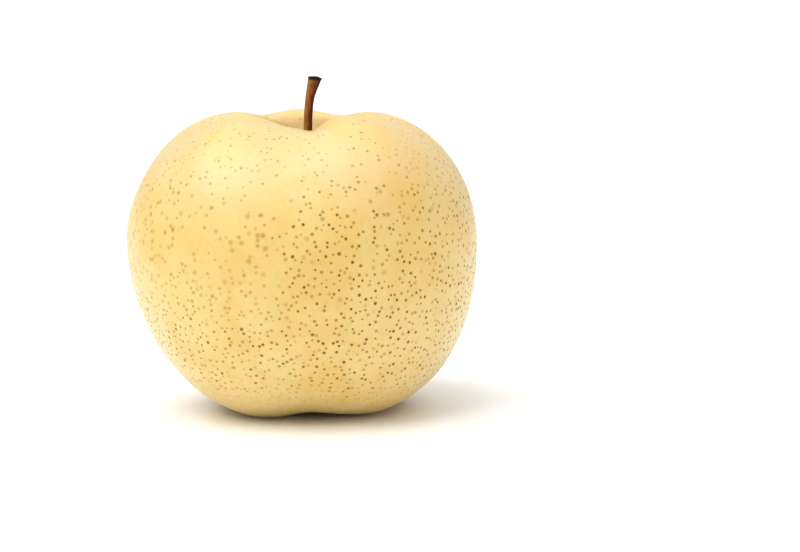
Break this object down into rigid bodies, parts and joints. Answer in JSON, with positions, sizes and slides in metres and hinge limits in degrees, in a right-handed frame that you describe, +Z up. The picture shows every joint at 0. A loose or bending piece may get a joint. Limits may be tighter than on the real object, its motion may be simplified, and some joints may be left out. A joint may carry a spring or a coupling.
{
  "type": "asian pear",
  "caption": "Whole Asian pear standing on its calyx end: a broad, faintly five-lobed fruit with a stem cavity, a calyx basin and a short woody stem.",
  "frame": {"origin": "on the surface that the pear stands on, under the middle of the pear's box", "axes": "+Z up along the core, from the calyx basin to the stem; -Y towards the groove that notches the shoulder at the front; +X the way the stem leans"},
  "size_m": [0.0926, 0.0916, 0.088],
  "materials": {
    "pear_skin": "smooth, waxy, satin",
    "stem_bark": "dull, finely ridged"
  },
  "bodies": {
    "root": {"fruit": "pear_skin", "stem": "stem_bark"}
  },
  "joints": []
}
